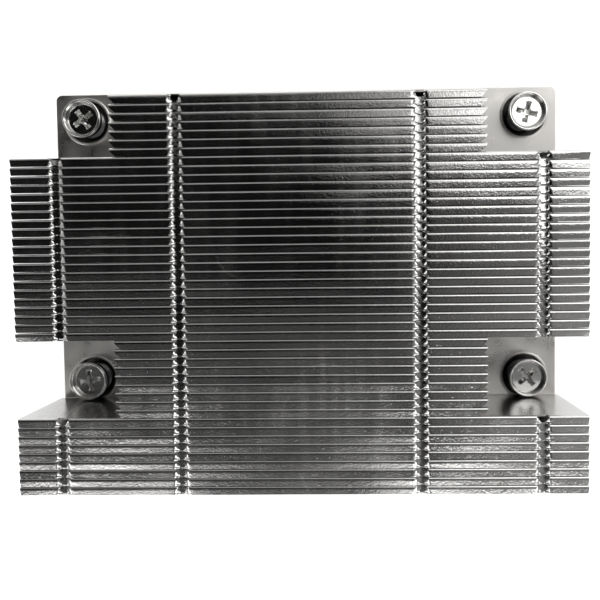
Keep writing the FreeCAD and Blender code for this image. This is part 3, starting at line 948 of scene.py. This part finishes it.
def studio_sky():
    """A soft sky, its strength a sum of panels, each a product of smooth steps along the direction.

    A panel has a strength, the part of the direction's X over which it rises, the same for Y, and
    the part of Y over which it ends again. The sky is dim above and at the back left, and brighter
    at the front and right. Toward the horizon the panels give way to one even strength.
    """
    world = bpy.data.worlds.new("studio_sky")
    world.use_nodes = True
    tree = world.node_tree
    background = tree.nodes["Background"]
    background.inputs["Color"].default_value = (1.0, 1.0, 1.0, 1.0)
    add = node_adder(tree)
    where = add("ShaderNodeTexCoord").outputs["Generated"]
    parts = add("ShaderNodeSeparateXYZ", [(0, where)]).outputs
    anywhere = (-2.0, -1.9)
    front_end, back_end = (-0.60, -0.42), (0.36, 0.27)
    panels = {
        "dome": (0.005, anywhere, anywhere, anywhere),
        "front_dome": (0.055, anywhere, (0.0, -0.12), anywhere),
        "right": (0.20, (0.03, 0.36), anywhere, anywhere),
        "left_side": (0.45, (-0.60, -0.85), anywhere, anywhere),
        "right_side": (0.45, (0.55, 0.80), anywhere, anywhere),
        "front": (0.50, anywhere, (-0.46, -0.74), anywhere),
        "front_middle": (0.18, anywhere, (-0.27, -0.34), front_end),
        "front_left": (2.0, (-0.12, -0.36), (-0.262, -0.335), front_end),
        "front_right": (2.7, (0.0, 0.12), (-0.302, -0.347), front_end),
        "back": (0.42, (-1.10, -0.10), (0.28, 0.55), anywhere),
        "back_low_right": (1.5, (-0.02, 0.18), (0.30, 0.45), (0.90, 0.70)),
        "back_right": (0.36, (-0.06, 0.02), (0.15, 0.20), back_end),
        "back_edge": (0.65, (0.07, 0.14), (0.19, 0.23), back_end),
        "back_corner": (1.4, (0.14, 0.22), (0.15, 0.20), back_end),
    }
    total = None
    for strength, across, ahead, end in panels.values():
        spans = (("X", across), ("Y", ahead), ("Y", end))
        steps = [smooth_ramp(add, parts[axis], *span) for axis, span in spans]
        panel = maths(add, "MULTIPLY", maths(add, "MULTIPLY", steps[0], steps[1]), steps[2])
        panel = maths(add, "MULTIPLY", panel, strength)
        total = panel if total is None else maths(add, "ADD", total, panel)
    even_below, panels_above, even_strength = 0.35, 0.60, 0.5
    upper = maths(add, "MULTIPLY", total, smooth_ramp(add, parts["Z"], even_below, panels_above))
    lower = maths(add, "MULTIPLY", smooth_ramp(add, parts["Z"], panels_above, even_below), even_strength)
    tree.links.new(maths(add, "ADD", upper, lower), background.inputs["Strength"])
    bpy.context.scene.world = world


def smooth_ramp(add, source, start, end):
    """A smooth rise from 0 at a start to 1 at an end, which may lie below the start."""
    to_low, to_high = (0.0, 1.0) if end > start else (1.0, 0.0)
    return remap(add, source, min(start, end), max(start, end), to_low, to_high, "SMOOTHSTEP")


class HEATSINK_OT_set_stage(bpy.types.Operator):
    """Make the floor, the soft light and the camera"""

    bl_idname = "heatsink.set_stage"
    bl_label = "Studio"

    def execute(self, context):
        scene = context.scene
        scene.view_settings.view_transform = "Standard"
        finish, studio = scene.heatsink_finish, scene.heatsink_studio
        reach, level = 3.0, CAD_BOX[0].z
        mesh = bpy.data.meshes.new("floor")
        corners = [(-reach, -reach), (reach, -reach), (reach, reach), (-reach, reach)]
        mesh.from_pydata([(x, y, level) for x, y in corners], [], [(0, 1, 2, 3)])
        floor = bpy.data.objects.new("floor", mesh)
        scene.collection.objects.link(floor)
        material = bpy.data.materials.new("floor")
        material.use_nodes = True
        shader = material.node_tree.nodes["Principled BSDF"]
        shader.inputs["Base Color"].default_value = (*finish.floor, 1.0)
        shader.inputs["Roughness"].default_value = 0.85
        mesh.materials.append(material)

        studio_sky()
        lamp = bpy.data.lights.new("floor_fill", "AREA")
        lamp.size, lamp.energy = 1.6, 25.0
        fill = bpy.data.objects.new("floor_fill", lamp)
        fill.location = (0.0, 0.0, 1.2)
        fill.visible_glossy = False
        scene.collection.objects.link(fill)

        camera = bpy.data.cameras.new("camera")
        camera.sensor_width = 36
        camera.lens = studio.camera_lens
        camera.shift_x, camera.shift_y = studio.camera_shift
        camera.clip_start = 0.005
        view = bpy.data.objects.new("camera", camera)
        view.location = studio.camera_place
        view.rotation_euler = studio.camera_turn
        scene.collection.objects.link(view)
        scene.camera = view
        return {"FINISHED"}


# ---- add-on ----


GROUPS = {
    "heatsink_fins": FinSizes,
    "heatsink_hardware": HardwareSizes,
    "heatsink_finish": Finish,
    "heatsink_studio": Studio,
}

OPERATORS = (
    HEATSINK_OT_make_fins,
    HEATSINK_OT_finish_base,
    HEATSINK_OT_make_seats,
    HEATSINK_OT_make_screws,
    HEATSINK_OT_make_springs,
    HEATSINK_OT_make_clips,
    HEATSINK_OT_set_stage,
)


class HEATSINK_PT_panel(bpy.types.Panel):
    """Lists the heatsink's pieces and their sizes"""

    bl_idname = "HEATSINK_PT_panel"
    bl_label = "Heatsink"
    bl_space_type = "VIEW_3D"
    bl_region_type = "UI"
    bl_category = "Heatsink"

    def draw(self, context):
        layout = self.layout
        for operator in OPERATORS:
            layout.operator(operator.bl_idname)
        for group_name, group in GROUPS.items():
            box = layout.box()
            for key in group.__annotations__:
                box.prop(getattr(context.scene, group_name), key)


def register():
    for item in (*GROUPS.values(), *OPERATORS, HEATSINK_PT_panel):
        bpy.utils.register_class(item)
    for name, group in GROUPS.items():
        setattr(bpy.types.Scene, name, bpy.props.PointerProperty(type=group))


def unregister():
    for name in GROUPS:
        delattr(bpy.types.Scene, name)
    for item in reversed((*GROUPS.values(), *OPERATORS, HEATSINK_PT_panel)):
        bpy.utils.unregister_class(item)


def main():
    """Make every piece."""
    register()
    bpy.ops.heatsink.make_fins()
    bpy.ops.heatsink.finish_base()
    bpy.ops.heatsink.make_seats()
    bpy.ops.heatsink.make_screws()
    bpy.ops.heatsink.make_springs()
    bpy.ops.heatsink.make_clips()
    bpy.ops.heatsink.set_stage()


if __name__ == "__main__":
    main()
